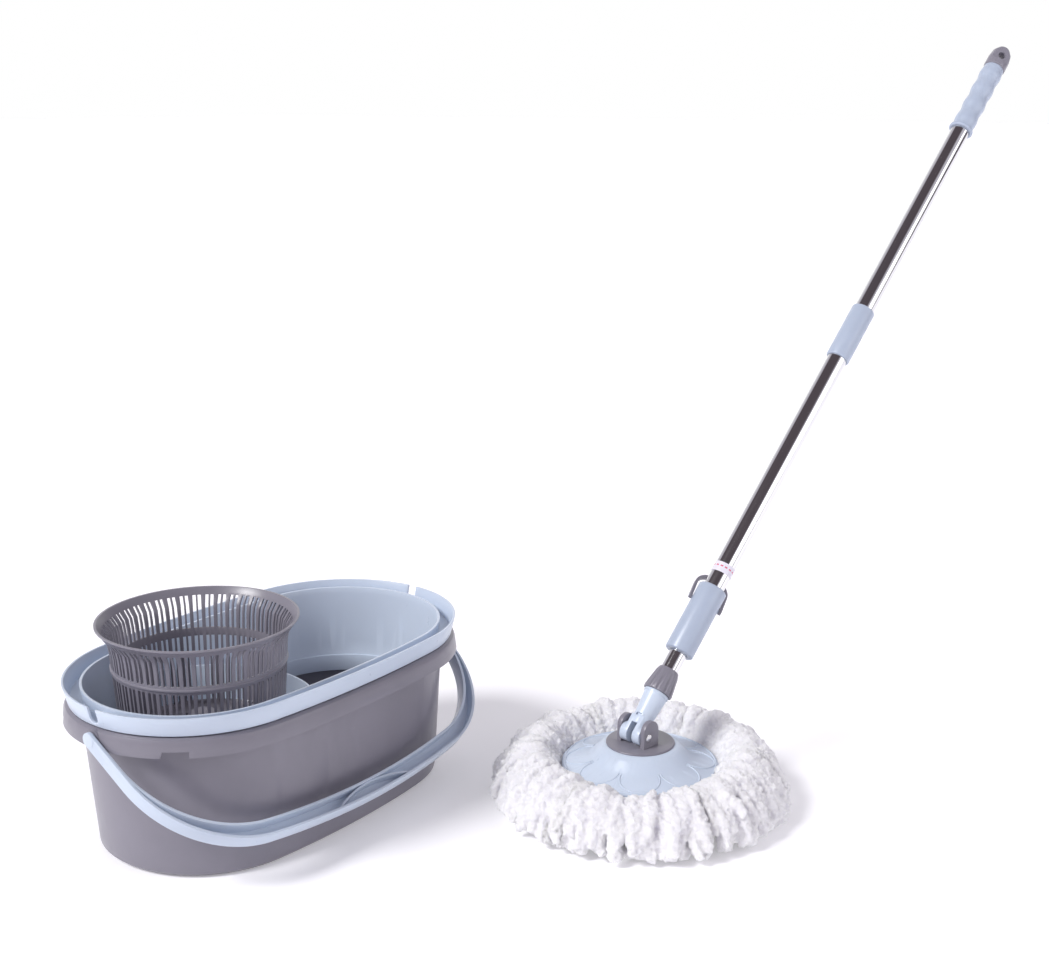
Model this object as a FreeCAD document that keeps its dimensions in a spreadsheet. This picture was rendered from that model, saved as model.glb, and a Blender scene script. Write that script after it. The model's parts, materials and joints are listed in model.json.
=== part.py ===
import FreeCAD, Part
import math
import os
import Sketcher

# A spin mop set: a long oval bucket with a lift-out wringer tray and a spinning basket,
# and a mop whose press-down pole turns its round head. Millimetres, +Z up. The origin is
# the centre of the bucket's flat base, and +X runs along the bucket to its rinsing end.

Vector = FreeCAD.Vector
Rotation = FreeCAD.Rotation
Placement = FreeCAD.Placement

doc = FreeCAD.newDocument("spin_mop")
sheet = doc.addObject("Spreadsheet::Sheet", "Sizes")

DRIVING_SIZES = {
    # bucket
    "bucket_length": 414.8, "bucket_width": 237.1, "bucket_height": 149.0,
    "bucket_draft_long": 11.9, "bucket_draft_wide": 4.55, "bucket_wall": 2.4,
    "bucket_floor": 3.0, "side_bulge": 5.0, "foot_inset": 8.0, "foot_rise": 5.0,
    "skirt_out_long": 16.6, "skirt_out_wide": 13.45, "skirt_drop": 17.6, "skirt_wall": 2.2,
    "skirt_round": 6.0, "flange_thick": 2.4, "notch_wide": 26.0, "notch_tall": 6.0,
    "notch_turn": 38.3,
    # bail
    "pivot_drop": 9.0, "peg_radius": 5.0, "peg_play": 0.05, "peg_length": 8.5,
    "boss_radius": 8.6, "bail_play": 1.0, "bail_side": 3.4, "bail_tall": 14.0,
    "bail_clear": 23.5, "bail_grip_wide": 17.0, "bail_corner": 112.0, "bail_front": 860.0,
    "bail_lean": 2.5, "bail_wall": 2.3, "bail_web": 2.5, "bail_rest": 54.0,
    "rib_radius": 132.0, "rib_thick": 1.8, "rib_drop": 1.6,
    # wringer tray
    "tray_gap": 0.3, "tray_wall": 2.2, "rim_in_long": 0.95, "rim_in_wide": 0.8,
    "rim_height": 18.3, "rim_flare": 4.5, "seat_tall": 1.2, "gutter_wide": 16.2,
    "lip_drop": 3.8, "tray_neck_inset": 2.5, "tray_deep": 79.0, "tray_taper": 7.0,
    "well_floor": 2.4, "partition_inset": 4.0, "partition_tall": 44.0, "ledge": 2.0,
    "chute_deep": 16.0, "rim_notch_wide": 11.0, "rim_notch_deep": 15.0, "drain_radius": 5.0,
    "drain_circle": 62.0, "spindle_boss": 14.0, "boss_tall": 11.0,
    # spindle and basket
    "spindle_radius": 6.0, "spindle_play": 0.06, "spindle_tall": 18.4, "spindle_head": 10.0,
    "washer_thick": 1.2, "washer_radius": 12.0, "screw_radius": 2.0, "screw_head": 4.2,
    "screw_head_tall": 2.4, "basket_shift": 4.05, "basket_gap": 30.4, "basket_draft": 6.8,
    "basket_wall": 2.2, "basket_tall": 94.5, "basket_heel": 4.0, "funnel_tall": 24.5,
    "funnel_wide": 12.0, "funnel_waist": 9.0, "funnel_waist_out": 1.6, "lip_round": 2.0,
    "hub_radius": 13.0, "hub_tall": 17.5, "bush_wall": 2.4, "ring_height": 74.5,
    "ring_proud": 1.2, "ring_tall": 2.8, "slot_wide": 3.3, "slot_rib": 1.8, "slot_low": 4.0,
    "slot_gap": 2.5, "slot_top": 112.0, "basket_hole": 3.0, "basket_hole_circle": 48.0,
    "cap_play": 0.1, "cap_foot": 4.0, "cap_dome": 5.0, "cap_skin": 1.0,
    # mop head
    "mop_along": 213.4, "mop_gap": 22.0, "lean_turn": 8.53, "disc_radius": 80.0,
    "disc_top": 63.0, "disc_wall": 2.4, "disc_cone": 14.0, "cone_tall": 14.2,
    "disc_edge_drop": 25.5, "disc_edge_tall": 4.0, "disc_step": 2.0, "ring_drop": 29.0,
    "ring_thick": 3.2, "ring_lip": 2.4, "ring_lip_tall": 6.5, "ring_play": 0.6,
    "yarn_out": 75.0, "yarn_under": 21.0, "yarn_crest_out": 27.0, "yarn_height": 63.0,
    "plate_radius": 35.0, "plate_thick": 2.0,
    "plate_edge": 0.8, "crown_margin": 1.0, "crown_round": 2.5, "ear_radius": 11.0,
    "ear_thick": 5.0, "ear_gap": 26.0, "ear_shift": 4.0, "ear_rise": 5.6,
    "pin_above": 10.35, "hinge_shift": 8.3, "pin_radius": 3.0, "pin_play": 0.05,
    "pin_head": 4.2, "pin_head_tall": 1.4, "plate_screw": 1.6, "plate_screw_head": 3.2,
    "plate_screw_circle": 26.0, "screw_bite": 1.2, "screw_play": 0.1,
    # pole, measured along it from the hinge pin
    "pole_lean": 43.9, "lobe_play": 0.4, "lobe_clear": 0.55, "lobe_gap": 7.2,
    "inner_radius": 9.5, "tube_wall": 0.7, "fit_play": 0.05, "neck_wall": 0.8,
    "neck_top_out": 1.0, "neck_top": 45.0, "flange_out": 1.9, "flange_tall": 2.6,
    "spigot_wall": 1.9, "spigot_tall": 19.0, "socket_low": 20.0, "slot_across": 7.0,
    "slot_tall": 3.0, "collet_slit": 2.0, "nut_gap": 0.4,
    "nut_tall": 27.0, "nut_out": 4.2, "nut_top_out": 1.4, "nut_play": 0.4,
    "flute_radius": 2.2, "flute_deep": 1.0, "flute_lean": 7.0, "stroke": 280.0,
    "sleeve_above": 21.0,
    "sleeve_tall": 79.0, "sleeve_wall": 4.5, "bush_shelf": 4.0, "bush_tall": 21.5,
    "guide_wall": 1.05, "bush_play": 0.06, "tube_step": 1.5, "tube_shelf": 2.5,
    "tube_overlap": 62.5, "joint_above": 48.5, "middle_half": 34.5, "middle_wall": 2.2,
    "insert_half": 25.0, "insert_play": 0.8, "upper_length": 389.5, "grip_length": 99.0,
    "grip_past": 12.0, "grip_wall": 2.0, "grip_dip": 1.3, "grip_flange_out": 1.2,
    "grip_flange_tall": 4.0, "cap_tall": 31.0, "cap_out": 1.8, "cap_tip": 4.8,
    "cap_spigot": 18.0, "cap_flat": 15.0, "hang_radius": 4.5, "hang_drop": 14.0,
    "band_above": 17.0, "band_tall": 11.0, "band_thick": 0.3, "rod_wide": 7.0,
    "rod_thick": 1.6, "rod_lead": 75.0, "rod_tail": 15.4, "rod_grip": 11.5,
    "rod_play": 0.35, "rod_clear": 1.2, "drive_drop": 11.6, "drive_tall": 9.0,
    "drive_wall": 2.2, "housing_drop": 16.0, "housing_head": 5.0, "housing_flange_out": 0.4,
    # lock lever
    "lever_turn": 46.0, "lever_below": 19.5, "lever_pin": 2.0, "lever_play": 0.05,
    "lever_gap": 0.8, "lever_thick": 3.0, "lever_wide": 5.0, "lever_reach": 22.0,
    "lever_slope": 30.0,
}

# how many of each repeated feature
DRAIN_COUNT = 10
SLOT_PAIRS = 44
BASKET_HOLE_COUNT = 16
PLATE_SCREW_COUNT = 4
FLUTE_COUNT = 12
GRIP_WAVES = 4
WAVE_STEPS = 8
# the yarn's outline, as shares of its spread beyond the crest and of its height
YARN_OUTSIDE = ((0.9, 0.13), (1.0, 0.32), (0.92, 0.57), (0.63, 0.81), (0.25, 0.975), (0.0, 1.0))
YARN_INSIDE = ((0.47, 0.905), (0.15, 0.745), (0.0, 0.6))
# a cut that runs this far past a face leaves no skin behind, and an edge broken by this much
PAST = 1.0
EDGE = 1.0


class Size:
    """A length together with the sheet formula that it comes from."""

    def __init__(self, number, text):
        self.number = float(number)
        self.text = text

    def __add__(self, other):
        other = sized(other)
        return Size(self.number + other.number, "(%s + %s)" % (self.text, other.text))

    def __sub__(self, other):
        other = sized(other)
        return Size(self.number - other.number, "(%s - %s)" % (self.text, other.text))

    def __mul__(self, other):
        other = sized(other)
        return Size(self.number * other.number, "(%s * %s)" % (self.text, other.text))

    def __truediv__(self, other):
        other = sized(other)
        return Size(self.number / other.number, "(%s / %s)" % (self.text, other.text))

    def __radd__(self, other):
        return sized(other) + self

    def __rsub__(self, other):
        return sized(other) - self

    def __rmul__(self, other):
        return sized(other) * self

    def __neg__(self):
        return Size(-self.number, "(-1 * %s)" % self.text)


def sized(value):
    """A plain number as a Size; a Size as it is."""
    if isinstance(value, Size):
        return value
    return Size(value, "(%s)" % repr(float(value)))


def root(value):
    return Size(math.sqrt(value.number), "sqrt(%s)" % value.text)


class Sizes:
    """The sheet's cells as attributes, each one a Size."""


size = Sizes()


def add_size(alias, number, formula):
    """Writes one named cell and makes it an attribute of size."""
    row = len(vars(size)) + 1
    sheet.set("A%d" % row, alias)
    sheet.set("B%d" % row, formula)
    sheet.setAlias("B%d" % row, alias)
    setattr(size, alias, Size(number, "Sizes." + alias))


def derive(alias, value):
    """A size that follows from others, kept on the sheet as its formula."""
    add_size(alias, value.number, "=" + value.text.replace("Sizes.", ""))


for alias, number in DRIVING_SIZES.items():
    add_size(alias, number, str(number))

derive("base_length", size.bucket_length - size.bucket_draft_long * 2)
derive("base_width", size.bucket_width - size.bucket_draft_wide * 2)
derive("skirt_length", size.bucket_length + size.skirt_out_long * 2)
derive("skirt_width", size.bucket_width + size.skirt_out_wide * 2)
derive("pivot_height", size.bucket_height - size.pivot_drop)
derive("bail_reach", size.skirt_width / 2 + size.bail_clear)
derive("rim_length", size.skirt_length - size.rim_in_long * 2)
derive("rim_width", size.skirt_width - size.rim_in_wide * 2)
derive("tray_seat", size.bucket_height + size.tray_gap)
derive("gutter_low", size.tray_seat + size.seat_tall)
derive("rim_top", size.gutter_low + size.rim_height)
derive("lip_top", size.rim_top - size.lip_drop)
derive("lip_length", size.rim_length - size.gutter_wide * 2)
derive("lip_width", size.rim_width - size.gutter_wide * 2)
derive("well_low", size.lip_top - size.tray_deep)
derive("well_top", size.well_low + size.well_floor)
derive("tray_bottom", size.well_low - size.chute_deep)
derive("end_centre", size.lip_length / 2 - size.lip_width / 2 + size.side_bulge)
derive("partition_radius", size.lip_width / 2 - size.partition_inset)
derive("basket_centre", size.end_centre - size.basket_shift)
derive("basket_top_radius", size.lip_width / 2 - size.basket_gap)
derive("basket_low_radius", size.basket_top_radius - size.basket_draft)
derive("washer_low", size.well_low + size.boss_tall)
derive("bush_bottom", size.washer_low + size.washer_thick + size.tray_gap)
derive("basket_low", size.bush_bottom + size.basket_wall)
derive("spindle_top", size.bush_bottom + size.spindle_tall)
derive("screw_seat", size.spindle_top + size.washer_thick)
derive("disc_crown", size.plate_radius + size.crown_margin)
derive("disc_waist", size.disc_crown + size.disc_cone)
derive("disc_edge", size.disc_top - size.disc_edge_drop)
derive("ring_bore", size.disc_waist)
derive("ring_low", size.disc_top - size.ring_drop)
derive("yarn_radius", size.disc_radius + size.yarn_out)
derive("yarn_crest_radius", size.disc_radius + size.yarn_crest_out)
derive("mop_aside", size.skirt_width / 2 + size.yarn_radius + size.mop_gap)
derive("plate_top", size.disc_top + size.plate_thick)
derive("pin_height", size.plate_top + size.pin_above)
derive("lobe_radius", size.pin_above - size.lobe_clear)
derive("neck_radius", size.inner_radius + size.neck_wall)
derive("spigot_radius", size.inner_radius + size.spigot_wall)
derive("neck_top_radius", size.spigot_radius + size.neck_top_out)
derive("neck_flange", size.spigot_radius + size.flange_out)
derive("spigot_top", size.neck_top + size.spigot_tall)
derive("nut_low", size.neck_top + size.flange_tall + size.nut_gap)
derive("nut_top", size.nut_low + size.nut_tall)
derive("nut_low_radius", size.spigot_radius + size.nut_out)
derive("nut_top_radius", size.inner_radius + size.nut_top_out)
derive("tube_radius", size.inner_radius + size.tube_step)
derive("bush_radius", size.inner_radius + size.guide_wall)
derive("sleeve_radius", size.tube_radius + size.sleeve_wall)
derive("sleeve_low", size.nut_top + size.sleeve_above)
derive("sleeve_top", size.sleeve_low + size.sleeve_tall)
derive("bush_low", size.sleeve_low + size.bush_shelf)
derive("bush_top", size.bush_low + size.bush_tall)
derive("tube_low", size.bush_top + size.tube_shelf)
derive("band_low", size.sleeve_top + size.band_above)
derive("inner_top", size.bush_top + size.stroke + size.tube_overlap)
derive("tube_joint", size.inner_top + size.joint_above)
derive("upper_top", size.tube_joint + size.upper_length)
derive("grip_top", size.upper_top + size.grip_past)
derive("grip_low", size.grip_top - size.grip_length)
derive("grip_radius", size.tube_radius + size.grip_wall)
derive("grip_flange", size.grip_radius + size.grip_flange_out)
derive("middle_radius", size.tube_radius + size.middle_wall)
derive("cap_top", size.grip_top + size.cap_tall)
derive("cap_radius", size.tube_radius + size.cap_out)
derive("hang_height", size.cap_top - size.hang_drop)
derive("rod_bore", size.rod_wide / 2 + size.rod_clear)
derive("insert_bore", size.rod_bore + size.insert_play)
derive("drive_low", size.inner_top - size.drive_drop)
derive("drive_radius", size.inner_radius - size.tube_wall - size.fit_play - size.drive_wall)
derive("rod_low", size.drive_low - size.stroke - size.rod_tail)
derive("rod_top", size.tube_joint + size.rod_grip)
derive("lever_height", size.sleeve_top - size.lever_below)
doc.recompute()

pieces = {}


# ---------------------------------------------------------------- building blocks

def bind(item, name, value):
    """Ties one property of an object to a formula on the sheet."""
    item.setExpression(name, sized(value).text)


def bind_place(item, at):
    for axis, value in zip("xyz", at):
        bind(item, "Placement.Base." + axis, value)


def constrain(sketch, kind, links, value):
    index = sketch.addConstraint(Sketcher.Constraint(kind, *links, value.number))
    sketch.setExpression("Constraints[%d]" % index, value.text)


def new_sketch(name, height=0.0, upright=False):
    """A sketch level at a height, or standing in the XZ plane."""
    sketch = doc.addObject("Sketcher::SketchObject", name)
    if upright:
        sketch.Placement = Placement(Vector(), Rotation(Vector(1, 0, 0), 90))
    bind(sketch, "Placement.Base.z", height)
    return sketch


def polygon(name, points, height=0.0, upright=False):
    """A closed outline of straight lines whose corners are all tied to the sheet."""
    sketch = new_sketch(name, height, upright)
    corners = [(sized(x), sized(y)) for x, y in points]
    spots = [Vector(x.number, y.number, 0) for x, y in corners]
    count = len(spots)
    for i in range(count):
        sketch.addGeometry(Part.LineSegment(spots[i], spots[(i + 1) % count]), False)
    for i in range(count):
        sketch.addConstraint(Sketcher.Constraint("Coincident", i, 2, (i + 1) % count, 1))
    for i, (x, y) in enumerate(corners):
        constrain(sketch, "DistanceX", (-1, 1, i, 1), x)
        constrain(sketch, "DistanceY", (-1, 1, i, 1), y)
    return sketch


def oval(name, length, width, height=0.0):
    """Two round ends joined by two slack side arcs, all four tangent."""
    sketch = new_sketch(name, height)
    end = sized(width) / 2 - size.side_bulge
    reach = sized(length) / 2 - end
    drop = (reach * reach - size.side_bulge * size.side_bulge) / (2 * size.side_bulge)
    slant = root(reach * reach + drop * drop)
    side = slant + end
    joint_x = reach + end * reach / slant
    joint_y = end * drop / slant
    turn = math.atan2(drop.number, reach.number)
    arcs = [(reach.number, 0.0, end, -turn, turn),
            (0.0, -drop.number, side, turn, math.pi - turn),
            (-reach.number, 0.0, end, math.pi - turn, math.pi + turn),
            (0.0, drop.number, side, math.pi + turn, 2 * math.pi - turn)]
    for x, y, radius, start, stop in arcs:
        circle = Part.Circle(Vector(x, y, 0), Vector(0, 0, 1), radius.number)
        sketch.addGeometry(Part.ArcOfCircle(circle, start, stop), False)
    for i in range(4):
        sketch.addConstraint(Sketcher.Constraint("Coincident", i, 2, (i + 1) % 4, 1))
    for i, (along, aside) in enumerate([(1, -1), (1, 1), (-1, 1), (-1, -1)]):
        constrain(sketch, "DistanceX", (-1, 1, i, 1), joint_x * along)
        constrain(sketch, "DistanceY", (-1, 1, i, 1), joint_y * aside)
        constrain(sketch, "Radius", (i,), arcs[i][2])
    return sketch


def loft(name, outlines):
    """A solid with straight-ruled walls through level outlines."""
    item = doc.addObject("Part::Loft", name)
    item.Sections = outlines
    item.Solid = True
    item.Ruled = True
    return item


def oval_stack(name, levels):
    """A lofted solid from (length, width, height) levels."""
    return loft(name, [oval("%s_%d" % (name, i), *level) for i, level in enumerate(levels)])


def extrude(name, outline, length):
    item = doc.addObject("Part::Extrusion", name)
    item.Base = outline
    item.DirMode = "Normal"
    item.Solid = True
    bind(item, "LengthFwd", length)
    return item


def turned(name, points):
    """A round piece made by turning an outline of (radius, height) about Z."""
    item = doc.addObject("Part::Revolution", name)
    item.Source = polygon(name + "_outline", points, upright=True)
    item.Axis = Vector(0, 0, 1)
    item.Angle = 360
    item.Solid = True
    return item


AXIS_TURNS = {"X": Rotation(Vector(0, 1, 0), 90), "Y": Rotation(Vector(1, 0, 0), -90),
              "Z": Rotation()}


def cylinder(name, radius, length, at=(0, 0, 0), axis="Z"):
    item = doc.addObject("Part::Cylinder", name)
    bind(item, "Radius", radius)
    bind(item, "Height", length)
    item.Placement = Placement(Vector(), AXIS_TURNS[axis])
    bind_place(item, at)
    return item


def tube(name, radius, bore, low, top):
    """A round tube between two heights."""
    outside = cylinder(name + "_outside", radius, top - low, (0, 0, low))
    inside = cylinder(name + "_inside", bore, top - low, (0, 0, low))
    return cut(name, outside, inside)


def box(name, lengths, at, turn=0.0):
    """A box from its lowest corner, turned about Z there."""
    item = doc.addObject("Part::Box", name)
    for side, value in zip(("Length", "Width", "Height"), lengths):
        bind(item, side, value)
    item.Placement = Placement(Vector(), Rotation(Vector(0, 0, 1), turn))
    bind_place(item, at)
    return item


def cut(name, base, tool):
    item = doc.addObject("Part::Cut", name)
    item.Base = base
    item.Tool = tool
    return item


def common(name, base, tool):
    item = doc.addObject("Part::Common", name)
    item.Base = base
    item.Tool = tool
    return item


def fuse(name, shapes):
    item = doc.addObject("Part::MultiFuse", name)
    item.Shapes = shapes
    return item


def group(name, items):
    """Several separate solids as one shape."""
    item = doc.addObject("Part::Compound", name)
    item.Links = items
    return item


def around(name, make, count, radius, centre=0.0, start=0.0):
    """Copies made by make(name, place) on a circle about Z."""
    items = []
    for i in range(count):
        turn = math.radians(start + 360.0 * i / count)
        spot = (sized(radius) * math.cos(turn) + centre, sized(radius) * math.sin(turn))
        items.append(make("%s_%d" % (name, i), spot))
    return group(name, items)


def piece(node, item, place=None):
    """Names a finished sub-part and puts it where it belongs."""
    item.Label = node
    if place is not None:
        item.Placement = place
    pieces[node] = item
    return item


# ---------------------------------------------------------------- bucket

def make_bucket():
    """One moulding: tapered oval tub, rolled flange, hanging skirt, bail bosses inside it."""
    wall = size.bucket_wall * 2
    tub = oval_stack("tub", [
        (size.base_length - size.foot_inset * 2, size.base_width - size.foot_inset * 2, 0),
        (size.base_length - size.foot_inset, size.base_width - size.foot_inset,
         size.foot_rise / 4),
        (size.base_length, size.base_width, size.foot_rise),
        (size.bucket_length, size.bucket_width, size.bucket_height)])
    hollow = oval_stack("tub_hollow", [
        (size.base_length - wall - size.foot_inset, size.base_width - wall - size.foot_inset,
         size.bucket_floor),
        (size.base_length - wall, size.base_width - wall, size.bucket_floor + size.foot_rise),
        (size.bucket_length - wall, size.bucket_width - wall, size.bucket_height)])
    low = size.bucket_height - size.skirt_drop
    under = size.bucket_height - size.flange_thick
    waist = size.bucket_height - size.skirt_round
    skirt = oval_stack("skirt", [
        (size.skirt_length, size.skirt_width, low),
        (size.skirt_length - size.skirt_round / 2, size.skirt_width - size.skirt_round / 2, waist),
        (size.skirt_length - size.skirt_round, size.skirt_width - size.skirt_round,
         size.bucket_height - size.skirt_round / 3),
        (size.skirt_length - size.skirt_round * 2, size.skirt_width - size.skirt_round * 2,
         size.bucket_height)])
    skin = size.skirt_wall * 2
    inside = oval_stack("skirt_inside", [
        (size.skirt_length - skin, size.skirt_width - skin, low),
        (size.skirt_length - size.skirt_round / 2 - skin,
         size.skirt_width - size.skirt_round / 2 - skin, waist),
        (size.skirt_length - size.skirt_round - skin, size.skirt_width - size.skirt_round - skin,
         under)])
    gap = cut("skirt_gap", inside, tub)
    shell = cut("shell_open", cut("shell_skirted", fuse("shell_solid", [tub, skirt]), gap), hollow)
    peg_hole = size.peg_radius + size.peg_play
    boss_end = size.skirt_length / 2 - size.skirt_wall / 2
    hole_end = size.skirt_length / 2 - size.peg_length
    bosses = []
    holes = []
    for side, start, drill in (("right", boss_end - size.skirt_drop, hole_end),
                               ("left", -boss_end, -hole_end - size.skirt_drop)):
        bosses.append(cylinder("boss_" + side, size.boss_radius, size.skirt_drop,
                               (start, 0, size.pivot_height), "X"))
        holes.append(cylinder("peg_hole_" + side, peg_hole, size.skirt_drop,
                              (drill, 0, size.pivot_height), "X"))
    bossed = fuse("shell_bossed", [shell, cut("bosses_outside", group("bosses", bosses), hollow)])
    drilled = cut("shell_drilled", bossed, group("peg_holes", holes))
    notches = []
    end = size.skirt_width / 2 - size.side_bulge
    for side, turn in ((1, size.notch_turn.number), (1, -size.notch_turn.number),
                       (-1, 180 - size.notch_turn.number), (-1, 180 + size.notch_turn.number)):
        label = "notch_%d" % len(notches)
        half = size.notch_wide / 2
        outline = polygon(label + "_outline", [
            (-half, 0), (half, 0), (half - size.notch_tall / 3, size.notch_tall),
            (-half, size.notch_tall)], upright=True)
        notch = extrude(label, outline, size.skirt_round * 2)
        centre = Vector(side * (size.skirt_length / 2 - end).number, 0, low.number)
        facing = Rotation(Vector(0, 0, 1), turn - 90)
        away = facing.multVec(Vector(0, end.number + size.skirt_round.number, 0))
        notch.Placement = Placement(centre + away, facing)
        notches.append(notch)
    piece("bucket_shell", cut("bucket_shell", drilled, group("notches", notches)))


def bail_outline(name, half_span, reach, height):
    """The bail's plan: leaning sides, two corner arcs and one slack front arc."""
    sketch = new_sketch(name, height)
    lean = math.radians(size.bail_lean.number)
    start = Vector(half_span.number, 0, 0)
    along = Vector(-math.sin(lean), math.cos(lean), 0)
    outward = Vector(math.cos(lean), math.sin(lean), 0)
    corner = size.bail_corner.number
    front = size.bail_front.number
    hub = Vector(0, reach.number - front, 0)
    base = start - outward * corner - hub
    half = base.dot(along)
    run = -half + math.sqrt(half * half - base.dot(base) + (front - corner) ** 2)
    middle = start - outward * corner + along * run
    side_end = middle + outward * corner
    to_front = (middle - hub).normalize()
    front_end = hub + to_front * front
    turn = math.atan2(to_front.y, to_front.x)

    def flip(spot):
        return Vector(-spot.x, spot.y, 0)

    def arc(centre, radius, first, last):
        circle = Part.Circle(centre, Vector(0, 0, 1), radius)
        return Part.ArcOfCircle(circle, first, last)

    sketch.addGeometry(Part.LineSegment(start, side_end), False)
    sketch.addGeometry(arc(middle, corner, lean, turn), False)
    sketch.addGeometry(arc(hub, front, turn, math.pi - turn), False)
    sketch.addGeometry(arc(flip(middle), corner, math.pi - turn, math.pi - lean), False)
    sketch.addGeometry(Part.LineSegment(flip(side_end), flip(start)), False)
    sketch.addGeometry(Part.LineSegment(flip(start), start), False)
    sketch.addConstraint(Sketcher.Constraint("Tangent", 0, 2, 1, 1))
    sketch.addConstraint(Sketcher.Constraint("Tangent", 1, 2, 2, 1))
    sketch.addConstraint(Sketcher.Constraint("Tangent", 2, 2, 3, 1))
    sketch.addConstraint(Sketcher.Constraint("Tangent", 3, 2, 4, 1))
    sketch.addConstraint(Sketcher.Constraint("Coincident", 4, 2, 5, 1))
    sketch.addConstraint(Sketcher.Constraint("Coincident", 5, 2, 0, 1))
    constrain(sketch, "DistanceX", (-1, 1, 0, 1), half_span)
    constrain(sketch, "DistanceY", (-1, 1, 0, 1), sized(0))
    constrain(sketch, "DistanceX", (-1, 1, 5, 1), -half_span)
    constrain(sketch, "DistanceY", (-1, 1, 5, 1), sized(0))
    constrain(sketch, "Radius", (1,), size.bail_corner)
    constrain(sketch, "Radius", (3,), size.bail_corner)
    constrain(sketch, "Radius", (2,), size.bail_front)
    constrain(sketch, "DistanceX", (-1, 1, 2, 3), sized(0))
    constrain(sketch, "DistanceY", (-1, 1, 2, 3), reach - size.bail_front)
    return sketch


def make_bail():
    """The carrying handle: a C-channel strap whose two pegs snap into the skirt."""
    inner_span = size.skirt_length / 2 + size.bail_play
    outer_span = inner_span + size.bail_side
    outer_reach = size.bail_reach + size.bail_grip_wide
    low = -size.bail_tall / 2

    def slab(name, half_span, reach, start, tall):
        return extrude(name, bail_outline(name + "_plan", half_span, reach, start), tall)

    strap = cut("strap", slab("strap_outside", outer_span, outer_reach, low, size.bail_tall),
                slab("strap_inside", inner_span, size.bail_reach, low - PAST,
                     size.bail_tall + PAST * 2))
    deep = size.bail_tall - size.bail_web
    channel = cut(
        "channel",
        slab("channel_outside", outer_span - size.bail_wall, outer_reach - size.bail_wall,
             low - PAST, deep + PAST),
        slab("channel_inside", inner_span + size.bail_wall, size.bail_reach + size.bail_wall,
             low - PAST * 2, deep + PAST * 3))
    hub = size.bail_reach + size.bail_wall + size.rib_radius
    ring = cut("rib_ring",
               cylinder("rib_outside", size.rib_radius, deep - size.rib_drop,
                        (0, hub, low + size.rib_drop)),
               cylinder("rib_inside", size.rib_radius - size.rib_thick, deep,
                        (0, hub, low + size.rib_drop)))
    rib = common("grip_rib", ring, channel)
    ends = []
    for side, plate, peg in (
            ("right", inner_span, inner_span - size.peg_length + size.bail_play),
            ("left", -outer_span, -inner_span - size.bail_side / 2)):
        ends.append(cylinder("bail_end_" + side, size.bail_tall / 2, size.bail_side,
                             (plate, 0, 0), "X"))
        ends.append(cylinder("bail_peg_" + side, size.peg_radius,
                             size.peg_length - size.bail_play + size.bail_side / 2,
                             (peg, 0, 0), "X"))
    bail = fuse("bail", [cut("strap_channelled", strap, channel), rib] + ends)
    hang = Rotation(Vector(1, 0, 0), -(90 + size.bail_rest.number))
    piece("bail", bail, Placement(Vector(0, 0, size.pivot_height.number), hang))


# ---------------------------------------------------------------- wringer tray

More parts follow.
